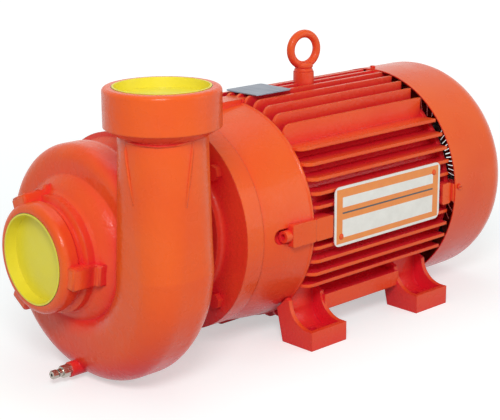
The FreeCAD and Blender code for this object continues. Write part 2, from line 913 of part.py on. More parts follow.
def fins_on(side_angle, offsets, flat_reach):
    """One bank of parallel fins; its mean direction from the shaft is at side_angle."""
    bank = []
    root = barrel_bore + barrel_wall - fin_root_sink
    for offset in offsets:
        inner = math.sqrt(max(root ** 2 - offset ** 2, 100.0)) if abs(offset) < root else 10.0
        reach = min(flat_reach, math.sqrt(fin_envelope ** 2 - offset ** 2))
        fin = fin_plate(reach, inner, frame_front_x, frame_rear_x, fin_nose_radius)
        fin.translate(V(0, 0, shaft_height + offset))
        bank.append(round_shaft(fin, side_angle))
    return bank


def foot(side, x_mid):
    """One foot: a block with a scoop between two webs, whose back wall rises to the frame."""
    x0 = x_mid - foot_length / 2
    half = foot_width_overall / 2
    hole_y = foot_pitch_y / 2
    h = foot_block_height
    inner = hole_y - foot_inner_run
    root, sweep = half - foot_root_run, half - foot_sweep_run
    sweep_mid = (half - foot_lip) * BEND + sweep * (1 - BEND)
    web = [(half, 0.0), (half, h), (half - foot_lip, h),
           (sweep_mid, h + foot_sweep_rise * BEND, sweep, h + foot_sweep_rise),
           (root, h + foot_root_rise), (root, h + foot_root_rise - foot_root_depth),
           (inner - foot_inner_slope, h + foot_knee_rise), (inner, 0.0)]
    web_face = Part.Face(outline(web, lambda y, z: V(x0, side * y, z)))
    body = web_face.extrude(V(foot_length, 0, 0))
    edge = half - foot_lip
    start, wall = hole_y - scoop_floor_end, hole_y - scoop_wall_run
    bend_y, bend_z = start + (wall - start) * (1 - BEND), scoop_floor + scoop_wall_rise * BEND
    scoop = [(edge, h + foot_root_rise), (edge, scoop_floor + scoop_edge), (edge - scoop_edge, scoop_floor),
             (start, scoop_floor), (bend_y, bend_z, wall, scoop_floor + scoop_wall_rise),
             (wall - scoop_edge, h + foot_root_rise)]
    scoop_face = Part.Face(outline(scoop, lambda y, z: V(x0 + foot_web_thickness, side * y, z)))
    body = body.cut(scoop_face.extrude(V(foot_length - 2 * foot_web_thickness, 0, 0)))
    return body.cut(along_z(x_mid, side * hole_y, -1, scoop_floor + 2, foot_hole_radius))


def rails():
    """Angle-shaped rails that join the front and rear foot on each side."""
    reach = (foot_pitch_x - foot_length) / 2 + rail_sink
    top = rail_bottom + rail_height
    pieces = []
    for side in (-1, 1):
        upright = sorted((side * rail_outer_y, side * (rail_outer_y - rail_thickness)))
        flange = sorted((side * rail_outer_y, side * rail_flange_y))
        pieces.append(block((-reach, reach), upright, (rail_bottom, top)))
        pieces.append(block((-reach, reach), flange, (top - rail_flange, top)))
    return pieces


def frame_lugs():
    outer = barrel_bore + barrel_wall
    lugs = []
    for x, length in ((frame_front_x, lug_length), (frame_rear_x - rear_lug_length, rear_lug_length)):
        lug = block((x, x + length), (-lug_reach, -outer + lug_sink),
                    (shaft_height - lug_half_width, shaft_height + lug_half_width), lug_corner)
        lugs += ring_of(lug, lug_count)
    return lugs


def frame_holes():
    """Tapped holes for the shields, the terminal box, the eye bolt and the rivets."""
    holes = []
    for x in (frame_front_x - 1, frame_rear_x - lug_tap_depth):
        holes += ring_of(along_x(x, lug_tap_depth + 1, lug_bolt_radius + seat_gap, -lug_bolt_circle), lug_count)
    for x, z in box_hold_spots():
        holes.append(along_y(x, box_pad_reach - hold_screw_grip - 1, z, hold_screw_grip + 2,
                             hold_screw_radius + seat_gap))
    for x, z in side_rivets():
        holes.append(along_y(x, -side_plate_seat() - 1, z, rivet_depth + 2, rivet_radius + running_gap))
    holes.append(along_z(eye_bolt_x, 0, eye_boss_top - eye_shank_length - 2, eye_shank_length + 4,
                         eye_shank_radius + seat_gap))
    holes.append(along_y(box_x, barrel_bore - box_pad_sink, shaft_height, box_pad_reach, box_wire_hole))
    return holes


def frame():
    outer = barrel_bore + barrel_wall
    barrel = along_x(frame_front_x, frame_length, outer)
    side_offsets = [(k + 0.5) * fin_pitch for k in range(-5, 6)]
    far_offsets = [-o for o in side_offsets]
    top_offsets = [k * fin_pitch for k in range(-5, 6)]
    low_offsets = [k * fin_pitch for k in range(-4, 5)]
    fins = fins_on(0.0, side_offsets, side_fin_reach) + fins_on(180.0, far_offsets, side_fin_reach)
    fins += fins_on(90.0, top_offsets, top_fin_reach) + fins_on(270.0, low_offsets, bottom_fin_reach)
    feet = [foot(side, end * foot_pitch_x / 2) for side in (-1, 1) for end in (-1, 1)]
    boss_foot = shaft_height + outer - eye_boss_sink
    boss = along_z(eye_bolt_x, 0, boss_foot, eye_boss_top - boss_foot, eye_boss_radius)
    pad = block((box_x - box_pad_half, box_x + box_pad_half), (outer - box_pad_sink, box_pad_reach),
                (shaft_height - box_pad_half, shaft_height + box_pad_half))
    body = barrel.fuse(fins + feet + rails() + frame_lugs() + [boss, pad] + plate_pads())
    body = body.cut(along_x(frame_front_x - 1, frame_length + 2, barrel_bore))
    ahead = foot_pitch_x + foot_length
    shield_room = bell_rear_radius + bell_bead_rise + loose_gap
    body = body.cut(along_x(frame_front_x - ahead, ahead, shield_room))
    return clean(body.cut(Part.makeCompound(frame_holes())))


def side_plate_seat():
    return side_fin_reach + side_plate_proud


def side_rivets():
    dx = side_plate_length / 2 - rivet_from_edge
    dz = side_plate_height / 2 - rivet_from_edge
    return [(side_plate_x - dx, side_plate_z - dz), (side_plate_x + dx, side_plate_z + dz)]


def plate_pads():
    """Round pads among the fins that carry the side plate's rivets."""
    length = side_plate_seat() - barrel_bore - barrel_wall + rivet_pad_sink
    return [along_y(x, -side_plate_seat(), z, length, rivet_pad_radius) for x, z in side_rivets()]


# End shields and cover

def bell():
    x0, x1 = bell_front_x, frame_front_x
    mid = (x0 + x1) / 2
    inner = bell_rear_radius - bell_wall
    hub = front_bearing_outer + bell_hub_wall
    seat_x = front_bearing_x
    seat_end = seat_x + front_bearing_width + bearing_seat_extra
    bead_x, bead_r = x1 - bell_bead_length, bell_rear_radius + bell_bead_rise
    front = x0 - front_register_depth
    face_x = x0 + bell_face_thickness
    spigot = barrel_bore - running_gap
    bore = front_journal + shaft_seal_gap
    step = front_bearing_outer - bearing_shoulder
    body = turned([(front, bore), (front, front_register_radius), (x0, front_register_radius),
                   (x0, bell_front_radius),
                   (mid, (bell_front_radius + bell_rear_radius) / 2 + bell_swell, bead_x, bell_rear_radius),
                   (bead_x + bell_bead_rise, bead_r), (x1, bead_r), (x1, spigot), (x1 + bell_spigot, spigot),
                   (x1 + bell_spigot, barrel_bore - bell_spigot_wall),
                   (face_x + bell_cone_run, inner - bell_hub_offset + bell_cone_rise),
                   (face_x, inner - bell_hub_offset), (face_x, hub + bell_hub_taper), (seat_end, hub),
                   (seat_end, front_bearing_outer), (seat_x, front_bearing_outer), (seat_x, step),
                   (seat_x - grease_room, step), (seat_x - grease_room, bore)])
    lug = block((x1 - bell_lug_length, x1), (-lug_reach, -inner + lug_sink),
                (shaft_height - lug_half_width, shaft_height + lug_half_width), lug_corner)
    body = body.fuse(ring_of(lug, lug_count))
    seat = x1 - bell_lug_length
    bolt = along_x(seat - 1, bell_lug_length + 2, lug_bolt_radius + lug_bolt_play, -lug_bolt_circle)
    pocket = along_x(seat - bell_pocket_length, bell_pocket_length, bell_pocket_radius, -lug_bolt_circle)
    scoop = Part.makeSphere(bell_pocket_radius, V(seat - bell_pocket_length, -lug_bolt_circle, shaft_height))
    body = body.cut(Part.makeCompound(ring_of(bolt.fuse([pocket, scoop]), lug_count)))
    hole = along_x(x0 - 1, adapter_bolt_grip + 3, adapter_bolt_radius + seat_gap, -adapter_bolt_circle)
    body = body.cut(Part.makeCompound(ring_of(hole, adapter_bolt_count, adapter_bolt_start)))
    groove = ring_x(seat_x + front_bearing_width + snap_ring_play, snap_ring_width + snap_ring_play,
                    front_bearing_outer - 1, front_bearing_outer + snap_ring_outer + snap_ring_play)
    return body.cut(groove)


def snap_ring():
    x = front_bearing_x + front_bearing_width + 1.5 * snap_ring_play
    outer = front_bearing_outer + snap_ring_outer
    ring = ring_x(x, snap_ring_width, front_bearing_outer - snap_ring_inner, outer)
    return ring.cut(block((x - 1, x + snap_ring_width + 1), (-outer - 1, 0.0),
                          (shaft_height - snap_ring_opening, shaft_height + snap_ring_opening)))


def rear_bearing_x():
    return frame_rear_x + rear_bearing_from_face


def shield_lug_reach():
    """Where the rear shield's lugs meet the inside of the fan cover."""
    return cover_radius - cover_sheet - cover_seat_gap


def rear_shield():
    x0 = frame_rear_x
    hub = rear_bearing_outer + rear_hub_wall
    spigot = barrel_bore - running_gap
    round_x = x0 + rear_face + rear_round
    seat_end = rear_bearing_x() + rear_bearing_width + rear_seat_extra
    bore = rear_journal + shaft_seal_gap
    body = turned([(x0, hub), (x0, hub + bell_spigot), (x0 + 2, spigot - bell_spigot_wall - 1),
                   (x0 - bell_spigot, spigot - bell_spigot_wall), (x0 - bell_spigot, spigot), (x0, spigot),
                   (x0, rear_shield_radius), (x0 + rear_face, rear_shield_radius),
                   (round_x - rear_round * BEND, rear_shield_radius - rear_round_drop * BEND,
                    round_x, rear_shield_radius - rear_round_drop),
                   (round_x + 1, hub + rear_hub_foot), (seat_end + rear_cap_wall, hub),
                   (seat_end + rear_cap_wall, bore), (seat_end, bore), (seat_end, rear_bearing_outer),
                   (x0, rear_bearing_outer)])
    reach = shield_lug_reach()
    lug = block((x0, x0 + rear_lug_depth), (-reach - 10, -spigot + 2),
                (shaft_height - rear_lug_half, shaft_height + rear_lug_half), lug_corner)
    lug = lug.common(along_x(x0 - 1, rear_shield_depth + 2, reach))
    body = body.fuse(ring_of(lug, lug_count))
    bolt = along_x(x0 - 1, rear_shield_depth, lug_bolt_radius + lug_bolt_play, -lug_bolt_circle)
    pocket = along_x(x0 + rear_bolt_seat, rear_shield_depth, rear_pocket_radius, -lug_bolt_circle)
    body = body.cut(Part.makeCompound(ring_of(bolt.fuse(pocket), lug_count)))
    return body.cut(Part.makeCompound(cover_screw_holes(reach, cover_screw_radius + running_gap)))


def cover_screw_holes(reach, radius):
    """Cylinders along the cover screws, from just outside a radius inwards."""
    hole = along_y(cover_rim_x + cover_screw_x_in, -reach - 2, shaft_height + cover_screw_offset,
                   cover_screw_length + 2, radius)
    return [round_shaft(hole, angle) for angle in cover_screw_angles]


def fan_cover():
    x0, x1 = cover_rim_x, cover_rim_x + cover_length
    s, t, big = cover_shoulder, cover_sheet, cover_radius
    b = s * BEND
    c = (s - t) * BEND
    body = turned([(x0, big - t), (x0, big), (x1 - s, big), (x1 - b, big - b, x1, big - s), (x1, 0.0),
                   (x1 - t, 0.0), (x1 - t, big - s), (x1 - t - c, big - t - c, x1 - s, big - t)])
    slot = block((x1 - 3 * t, x1 + t), (-grille_outer, -grille_inner),
                 (shaft_height - grille_slot_width / 2, shaft_height + grille_slot_width / 2))
    body = body.cut(Part.makeCompound(ring_of(slot, grille_slots)))
    return body.cut(Part.makeCompound(cover_screw_holes(big, cover_screw_radius + loose_gap)))


def cover_screws():
    """Slotted screws at three lugs; the fourth lug is next to the floor and stays free."""
    x = cover_rim_x + cover_screw_x_in
    seat = cover_radius + cover_seat_gap
    z = shaft_height + cover_screw_offset
    head = along_y(x, -seat - cover_screw_head, z, cover_screw_head, cover_screw_head_radius)
    head = head.fuse(along_y(x, -seat, z, cover_screw_length, cover_screw_radius))
    slot = block((x - cover_screw_head_radius - 1, x + cover_screw_head_radius + 1),
                 (-seat - cover_screw_head - 1, -seat - cover_screw_head + cover_screw_slot),
                 (z - screw_slot_half, z + screw_slot_half))
    screw = head.cut(slot)
    return [round_shaft(screw, angle) for angle in cover_screw_angles]


# Shaft group and bearings

def bearing(x, width, bore, outer, ball):
    """Inner ring, outer ring, and the balls with the ring that spaces them."""
    pitch = (bore + outer) / 2
    wall = (outer - bore) * race_share
    mid = x + width / 2
    groove = Part.makeTorus(pitch, ball + ball_play, V(mid, 0, shaft_height), V(1, 0, 0))
    inner = ring_x(x, width, bore + seat_gap, bore + wall).cut(groove)
    race = ring_x(x, width, outer - wall, outer - seat_gap).cut(groove)
    balls = ring_of(Part.makeSphere(ball, V(mid, -pitch, shaft_height)), ball_count, ball_start)
    half = ((outer - bore) / 2 - wall) * cage_share
    cage = ring_x(mid - ball - cage_rim, 2 * (ball + cage_rim), pitch - half, pitch + half)
    pockets = [Part.makeSphere(ball + ball_play, b.Solids[0].CenterOfMass) for b in balls]
    return inner, race, balls, cage.cut(Part.makeCompound(pockets))


def shaft():
    nose, edge = hub_nose_x(), shaft_chamfer
    step = bell_front_x - shaft_step_from_bell
    front = front_bearing_x + front_bearing_width
    rear = rear_bearing_x()
    rear_end = rear + rear_bearing_width + rear_journal_extra
    fan_end = fan_x() + fan_hub_length + fan_end_room
    core_start = core_front_x - core_journal_extra
    core_end = core_front_x + core_length + core_journal_extra
    body = turned([(nose, 0.0), (nose, pump_journal - edge), (nose + edge, pump_journal),
                   (step - shaft_taper, pump_journal), (step, front_journal - edge), (step + edge, front_journal),
                   (front, front_journal), (front, shaft_shoulder),
                   (core_start - shaft_taper, shaft_shoulder), (core_start, core_journal),
                   (core_end, core_journal), (core_end + shaft_taper, shaft_rear_shoulder + edge),
                   (rear, shaft_rear_shoulder), (rear, rear_journal), (rear_end, rear_journal),
                   (rear_end, fan_journal), (fan_end - edge, fan_journal), (fan_end, fan_journal - edge),
                   (fan_end, 0.0)])
    tap = along_x(nose - 1, shaft_tap_depth + 1, shaft_tap_radius)
    half = key_width / 2 + running_gap
    key_slot = block((nose + key_front_gap - 1, hub_back_x() - key_rear_gap + 1), (-half, half),
                     (shaft_height + pump_journal - key_depth - running_gap, shaft_height + pump_journal + 1))
    clip = ring_x(fan_x() + fan_hub_length + fan_clip_width / 8, fan_clip_groove,
                  fan_journal - fan_clip_depth - 2 * running_gap, fan_journal + 1)
    return body.cut(tap).cut(key_slot).cut(clip)


def shaft_key():
    top = shaft_height + key_top()
    return block((hub_nose_x() + key_front_gap, hub_back_x() - key_rear_gap), (-key_width / 2, key_width / 2),
                 (top - key_height, top))


def impeller_washer():
    nose = hub_nose_x()
    front = nose - washer_thickness
    disc = turned([(front, 0.0), (front, washer_radius - 2), (nose, washer_radius), (nose, 0.0)])
    return disc.cut(along_x(front - 1, washer_thickness + 2, impeller_bolt_radius + running_gap))


def impeller_bolt():
    seat = hub_nose_x() - washer_thickness
    head = hexagon(seat - impeller_bolt_head, impeller_bolt_head, impeller_bolt_flats, 0.0, shaft_height)
    return clean(head.fuse(along_x(seat, impeller_bolt_length, impeller_bolt_radius)))


def slinger():
    """A thin ring on the shaft that throws off drops before they reach the motor."""
    x = casing_back_x + slinger_from_casing
    back = x + slinger_cone + slinger_thickness
    grip = pump_journal + seat_gap
    return turned([(x, grip), (x, slinger_hub_radius), (x + slinger_cone, slinger_radius), (back, slinger_radius),
                   (back, grip)])


def rotor_cage():
    """Cast conductor rings with small stirring vanes at each end of the rotor core."""
    pieces = []
    for x, way in ((core_front_x, -1), (core_front_x + core_length, 1)):
        ring = ring_x(min(x, x + way * cage_ring_length), cage_ring_length, cage_ring_inner, cage_ring_outer)
        near, far = x + way * (cage_ring_length - 1), x + way * (cage_ring_length + cage_vane_length)
        blade = block(sorted((near, far)), (-cage_ring_outer + 2, -cage_ring_inner - 2),
                      (shaft_height - cage_vane_half, shaft_height + cage_vane_half))
        pieces.append(ring.fuse(ring_of(blade, cage_vanes)))
    return pieces


def winding(x):
    """One bundle of end turns, a ring with eased edges."""
    end, low, high, edge = x + winding_overhang - winding_sink, winding_inner, winding_outer, winding_edge
    return turned([(x, low + edge), (x, high - edge), (x + edge, high), (end - edge, high), (end, high - edge),
                   (end, low + edge), (end - edge, low), (x + edge, low)])


def fan_x():
    return frame_rear_x + rear_shield_depth + fan_from_shield


def cooling_fan():
    x = fan_x()
    hub = ring_x(x, fan_hub_length, fan_journal + seat_gap, fan_hub_radius)
    disc = ring_x(x, fan_disc_thickness, fan_hub_radius - 2, fan_disc_radius)
    high = x + fan_blade_height
    low = fan_hub_radius - 2
    plan = [(x, low), (x, fan_disc_radius), (x + fan_disc_thickness, fan_disc_radius + 2),
            (x + fan_tip_ease, fan_tip_radius), (high - fan_tip_ease, fan_tip_radius),
            (high, fan_tip_radius - fan_tip_slope), (high, low)]
    face = Part.Face(outline(plan, lambda a, r: V(a, -r, shaft_height - fan_blade_thickness / 2)))
    blade = face.extrude(V(0, 0, fan_blade_thickness))
    return clean(hub.fuse([disc] + ring_of(blade, fan_blades)))


def fan_clip():
    x = fan_x() + fan_hub_length + fan_clip_width / 6
    ring = ring_x(x, fan_clip_width, fan_journal - fan_clip_depth, fan_journal + fan_clip_rise)
    return ring.cut(block((x - 1, x + fan_clip_width + 1), (-2 * fan_journal, 0.0),
                          (shaft_height - fan_clip_opening, shaft_height + fan_clip_opening)))


# Drain cock

def drain_cock():
    x, y, z = drain_boss_x, drain_y, drain_z
    nose = x - drain_hex_length - drain_nose_length
    body = along_x(x, drain_thread, drain_bore - seat_gap, y, z)
    body = body.fuse([hexagon(x - drain_hex_length, drain_hex_length, drain_hex_flats, y, z),
                      along_x(nose, drain_nose_length + 1, drain_nose_radius, y, z)])
    return clean(body.cut(along_x(nose - 1, x + drain_thread - nose + 2, stem_radius + stem_play, y, z)))


def drain_stem():
    y, z = drain_y, drain_z
    nose = drain_boss_x - drain_hex_length - drain_nose_length
    hex_end = nose - stem_proud + 2 * stem_play
    body = along_x(hex_end - 1, drain_boss_x + stem_sink - hex_end + 1, stem_radius, y, z)
    body = body.fuse(hexagon(hex_end - stem_hex_length, stem_hex_length, stem_hex_flats, y, z))
    return clean(body.cut(along_x(hex_end - stem_hex_length - 1, stem_outlet_depth, stem_outlet, y, z)))


# Eye bolt, plates and terminal box

def eye_bolt():
    """A ring on a grooved collar, turned a little about its shank as it was tightened."""
    turn = math.radians(eye_turn)
    axis = V(math.sin(turn), math.cos(turn), 0)
    ring = Part.makeTorus(eye_ring_mean_radius, eye_ring_tube, V(eye_bolt_x, 0, eye_ring_centre_z), axis)
    r, foot_z, g = eye_collar_radius, eye_boss_top, eye_collar_groove
    top = foot_z + eye_collar_height
    low = foot_z + eye_collar_height / 3
    collar = turned_up(eye_bolt_x, 0, [(0.0, foot_z - 1), (0.0, top), (r - 2 * g, top), (r, top - 2 * g),
                                       (r, low + 2 * g), (r - g, low + g), (r - g, low), (r, low - g), (r, foot_z),
                                       (eye_shank_radius, foot_z), (eye_shank_radius, foot_z - 1)])
    shank = along_z(eye_bolt_x, 0, foot_z - eye_shank_length, eye_shank_length + 1, eye_shank_radius)
    return ring.fuse([collar, shank])


def top_plate():
    z = shaft_height + top_fin_reach
    x, y = top_plate_length / 2, top_plate_width / 2
    plate = Part.makeBox(2 * x, 2 * y, top_plate_thickness, V(top_plate_x - x, -y, z))
    upright = [e for e in plate.Edges if abs(e.tangentAt(e.FirstParameter).z) > 0.9]
    return plate.makeFillet(top_plate_corner, upright)


def side_plate():
    y = -side_plate_seat()
    x = side_plate_length / 2
    z = side_plate_height / 2
    plate = block((side_plate_x - x, side_plate_x + x), (y - side_plate_thickness, y),
                  (side_plate_z - z, side_plate_z + z), side_plate_corner)
    return plate.cut(Part.makeCompound([along_y(px, y - 3, pz, 4, rivet_hole) for px, pz in side_rivets()]))


def rivets():
    """Domed rivets standing on the side plate, their shanks let into the frame."""
    y = -side_plate_seat() - side_plate_thickness
    pieces = []
    for x, z in side_rivets():
        head = Part.makeCone(rivet_head, rivet_crown, rivet_rise, V(x, y, z), V(0, -1, 0))
        pieces.append(head.fuse(along_y(x, y, z, rivet_depth, rivet_radius)))
    return pieces


def box_limits(shrink=0.0):
    x = box_length / 2 - shrink
    z = box_height / 2 - shrink
    return (box_x - x, box_x + x), (shaft_height - z, shaft_height + z)


def terminal_box():
    y0 = box_pad_reach
    y1 = y0 + box_depth
    x, z = box_limits()
    body = block(x, (y0, y1), z, box_corner)
    x, z = box_limits(box_wall)
    body = body.cut(block(x, (y0 + box_wall, y1 + 1), z, box_corner - box_wall))
    for px, pz in box_screw_spots():
        body = body.fuse(along_y(px, y0 + box_wall - 1, pz, box_depth - box_wall + 1, box_post_radius))
        body = body.cut(along_y(px, y1 - box_screw_room, pz, box_screw_room + 1, box_screw_radius + seat_gap))
    hub_y, hub_z = y0 + box_depth / 2, z[0] - box_wall - conduit_hub_length
    body = body.fuse(along_z(box_x, hub_y, hub_z, conduit_hub_length + 4, conduit_hole + conduit_wall))
    body = body.cut(along_z(box_x, hub_y, hub_z - 1, conduit_hub_length + box_wall + 3, conduit_hole))
    body = body.cut(along_y(box_x, y0 - 1, shaft_height, box_wall + 2, box_wire_hole))
    for px, pz in box_hold_spots():
        body = body.cut(along_y(px, y0 - 1, pz, box_wall + 2, hold_screw_radius + hold_screw_play))
    return clean(body)


def box_hold_spots():
    reach = box_pad_half - hold_screw_inset
    return [(box_x + side * reach, shaft_height + rise * reach) for side in (-1, 1) for rise in (-1, 1)]


def box_screw_spots():
    x, z = box_limits(box_post_inset)
    return [(px, pz) for px in x for pz in z]


def box_gasket_ring():
    y = box_pad_reach + box_depth
    x, z = box_limits(gasket_edge)
    ring = block(x, (y, y + box_gasket), z, box_corner - gasket_edge)
    x, z = box_limits(box_wall + gasket_edge)
    ring = ring.cut(block(x, (y - 1, y + box_gasket + 1), z, box_corner - box_wall))
    ring = ring.fuse([along_y(px, y, pz, box_gasket, box_post_radius) for px, pz in box_screw_spots()])
    holes = [along_y(px, y - 1, pz, box_gasket + 2, box_screw_hole) for px, pz in box_screw_spots()]
    return clean(ring.cut(Part.makeCompound(holes)))


def box_cover():
    y = box_pad_reach + box_depth + box_gasket
    x, z = box_limits()
    lid = block(x, (y, y + box_lid), z, box_corner)
    lid = lid.makeFillet(box_lid_edge, [e for e in lid.Edges if abs(e.BoundBox.YMin - y - box_lid) < 1e-4])
    holes = [along_y(px, y - 1, pz, box_lid + 2, box_screw_hole) for px, pz in box_screw_spots()]
    return lid.cut(Part.makeCompound(holes))


def box_screws():
    y = box_pad_reach + box_depth + box_gasket + box_lid
    reach = box_lid + box_gasket + box_screw_grip
    r, high = box_screw_head_radius, box_screw_head
    screws = []
    for px, pz in box_screw_spots():
        slot = block((px - r - 1, px + r + 1), (y + high - box_screw_slot, y + high + 1),
                     (pz - screw_slot_half, pz + screw_slot_half))
        head = along_y(px, y, pz, high, r).cut(slot)
        screws.append(head.fuse(along_y(px, y - reach, pz, reach, box_screw_radius)))
    return screws


def box_hold_screws():
    """Screws inside the box that hold it to the frame's pad."""
    y = box_pad_reach + box_wall
    reach = box_wall + hold_screw_grip
    screws = []
    for px, pz in box_hold_spots():
        head = along_y(px, y, pz, hold_screw_head, hold_screw_head_radius)
        screws.append(head.fuse(along_y(px, y - reach, pz, reach, hold_screw_radius)))
    return screws


def terminal_block():
    """The block on the box's floor with two rows of studs for the motor's leads."""
    y = box_pad_reach + box_wall
    top = y + block_depth
    mid = box_x - block_from_middle
    base = block((mid - block_half_width, mid + block_half_width), (y, top),
                 (shaft_height - block_half_height, shaft_height + block_half_height), block_edge)
    studs = []
    for row in range(-1, 2):
        for side in (-1, 1):
            x, z = mid + side * stud_from_middle, shaft_height + row * stud_pitch
            nut = hexagon_y(x, top, z, stud_nut_length, stud_nut_flats)
            studs.append(along_y(x, top, z, stud_length, stud_radius).fuse(nut))
    return base, studs


def hexagon_y(x, y, z, length, across_flats):
    radius = across_flats / math.sqrt(3)
    corners = [V(x + radius * math.cos(math.radians(a)), y, z + radius * math.sin(math.radians(a)))
               for a in range(0, 360, 60)]
    return Part.Face(Part.makePolygon(corners + corners[:1])).extrude(V(0, length, 0))


def build():
    save("volute_casing", casing())
    save("casing_wear_ring", wear_ring())
    save("suction_port_cap", suction_cap())
    save("discharge_port_cap", discharge_cap())
    save("drain_cock_body", drain_cock())
    save("drain_cock_stem", drain_stem())
    save("impeller", impeller())
    save("impeller_washer", impeller_washer())
    save("impeller_bolt", impeller_bolt())
    save("impeller_key", shaft_key())
    bellows, head, seat = shaft_seal()
    save("seal_bellows", bellows)
    save("seal_rotating_head", head)
    save("seal_fixed_seat", seat)
    save("shaft_slinger", slinger())
    save("adapter_bracket", adapter())
    shank = adapter_flange + casing_bolt_grip - 2
    save("casing_bolts", *hex_bolts(casing_back_x + adapter_flange + seat_gap, 1, shank, casing_bolt_radius,
                                    casing_bolt_circle, casing_bolt_count, casing_bolt_start))
    shank = adapter_ring + adapter_bolt_grip
    save("adapter_bolts", *hex_bolts(ring_front_x - seat_gap, -1, shank, adapter_bolt_radius,
                                     adapter_bolt_circle, adapter_bolt_count, adapter_bolt_start))
    save("motor_frame", frame())
    save("drive_end_shield", bell())
    shank = bell_lug_length + lug_bolt_grip
    save("front_shield_bolts", *socket_bolts(frame_front_x - bell_lug_length, -1, shank))
    save("rear_shield", rear_shield())
    save("rear_shield_bolts", *socket_bolts(frame_rear_x + rear_bolt_seat, 1, rear_bolt_seat + lug_bolt_grip))
    save("fan_cover", fan_cover())
    save("fan_cover_screws", *cover_screws())
    save("motor_shaft", shaft())
    save("rotor_core", ring_x(core_front_x, core_length, core_journal + seat_gap, rotor_radius))
    save("rotor_cage", *rotor_cage())
    save("stator_core", ring_x(core_front_x, core_length, rotor_radius + air_gap, barrel_bore - seat_gap))
    save("stator_windings", winding(core_front_x - winding_overhang + winding_sink),
         winding(core_front_x + core_length))
    front = bearing(front_bearing_x, front_bearing_width, front_journal, front_bearing_outer, front_ball)
    rear = bearing(rear_bearing_x(), rear_bearing_width, rear_journal, rear_bearing_outer, rear_ball)
    for where, (inner, race, balls, cage) in (("front", front), ("rear", rear)):
        save(where + "_bearing_inner_ring", inner)
        save(where + "_bearing_outer_ring", race)
        save(where + "_bearing_balls", *balls)
        save(where + "_bearing_cage", cage)
    save("bearing_snap_ring", snap_ring())
    save("cooling_fan", cooling_fan())
    save("fan_retaining_clip", fan_clip())
    save("eye_bolt", eye_bolt())
    save("top_plate", top_plate())
    save("side_plate", side_plate())
    save("plate_rivets", *rivets())
    save("terminal_box", terminal_box())
    save("terminal_box_gasket", box_gasket_ring())
    save("terminal_box_cover", box_cover())
    save("terminal_box_screws", *box_screws())
    save("terminal_box_hold_screws", *box_hold_screws())
    base, studs = terminal_block()
    save("terminal_block", base)
    save("terminal_studs", *studs)


build()
os.makedirs("parts", exist_ok=True)
for name, shape in PARTS:
    shape.exportStep("parts/" + name + ".step")
    print(name, len(shape.Solids), shape.isValid(), round(shape.Volume))
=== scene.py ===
"""Looks for the close-coupled centrifugal pump: materials, studio, camera and a few pieces."""

import math

import bmesh
import bpy
from mathutils import Matrix, Vector


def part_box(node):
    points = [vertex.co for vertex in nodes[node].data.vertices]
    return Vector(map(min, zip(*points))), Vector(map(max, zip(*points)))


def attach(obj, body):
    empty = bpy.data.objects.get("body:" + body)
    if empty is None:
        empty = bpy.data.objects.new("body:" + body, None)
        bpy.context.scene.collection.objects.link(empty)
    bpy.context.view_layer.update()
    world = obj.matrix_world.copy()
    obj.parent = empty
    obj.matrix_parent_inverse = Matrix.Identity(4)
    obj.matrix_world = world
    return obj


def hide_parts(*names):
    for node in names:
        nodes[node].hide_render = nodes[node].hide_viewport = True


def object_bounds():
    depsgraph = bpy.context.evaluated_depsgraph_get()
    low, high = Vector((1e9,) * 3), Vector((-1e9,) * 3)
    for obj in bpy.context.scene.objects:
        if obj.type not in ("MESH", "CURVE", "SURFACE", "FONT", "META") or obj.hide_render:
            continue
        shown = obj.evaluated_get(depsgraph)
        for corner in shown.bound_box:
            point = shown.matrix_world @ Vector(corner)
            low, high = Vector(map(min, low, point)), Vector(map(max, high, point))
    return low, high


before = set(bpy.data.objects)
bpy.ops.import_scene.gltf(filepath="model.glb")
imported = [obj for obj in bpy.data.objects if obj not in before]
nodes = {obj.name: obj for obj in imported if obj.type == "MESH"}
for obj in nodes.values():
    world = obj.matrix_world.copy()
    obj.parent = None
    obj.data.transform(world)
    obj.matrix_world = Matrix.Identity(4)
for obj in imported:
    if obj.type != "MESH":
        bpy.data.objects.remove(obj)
cad_low, cad_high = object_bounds()
scene = bpy.context.scene
scene.view_settings.view_transform = "Standard"


# Camera at the photograph's angle

PHOTO_WIDTH = 500.0
PHOTO_HEIGHT = 420.0
FOCAL_PIXELS = 1348.03
SENSOR_WIDTH = 36.0
CAMERA_PLACE = (-1.31507, -1.28687, 0.63857)


def make_camera():
    turn, down, roll = math.radians(43.45), math.radians(15.38), math.radians(-0.29)
    look = Vector((math.sin(turn) * math.cos(down), math.cos(turn) * math.cos(down), -math.sin(down)))
    right = Vector((math.cos(turn), -math.sin(turn), 0.0))
    up = right.cross(look)
    x_axis = right * math.cos(roll) + up * math.sin(roll)
    y_axis = -right * math.sin(roll) + up * math.cos(roll)
    data = bpy.data.cameras.new("camera")
    data.sensor_width = SENSOR_WIDTH
    data.lens = FOCAL_PIXELS / PHOTO_WIDTH * SENSOR_WIDTH
    data.clip_end = 50.0
    cam = bpy.data.objects.new("camera", data)
    scene.collection.objects.link(cam)
    place = Matrix((x_axis, y_axis, -look)).transposed().to_4x4()
    place.translation = Vector(CAMERA_PLACE)
    cam.matrix_world = place
    scene.camera = cam


# Node helpers

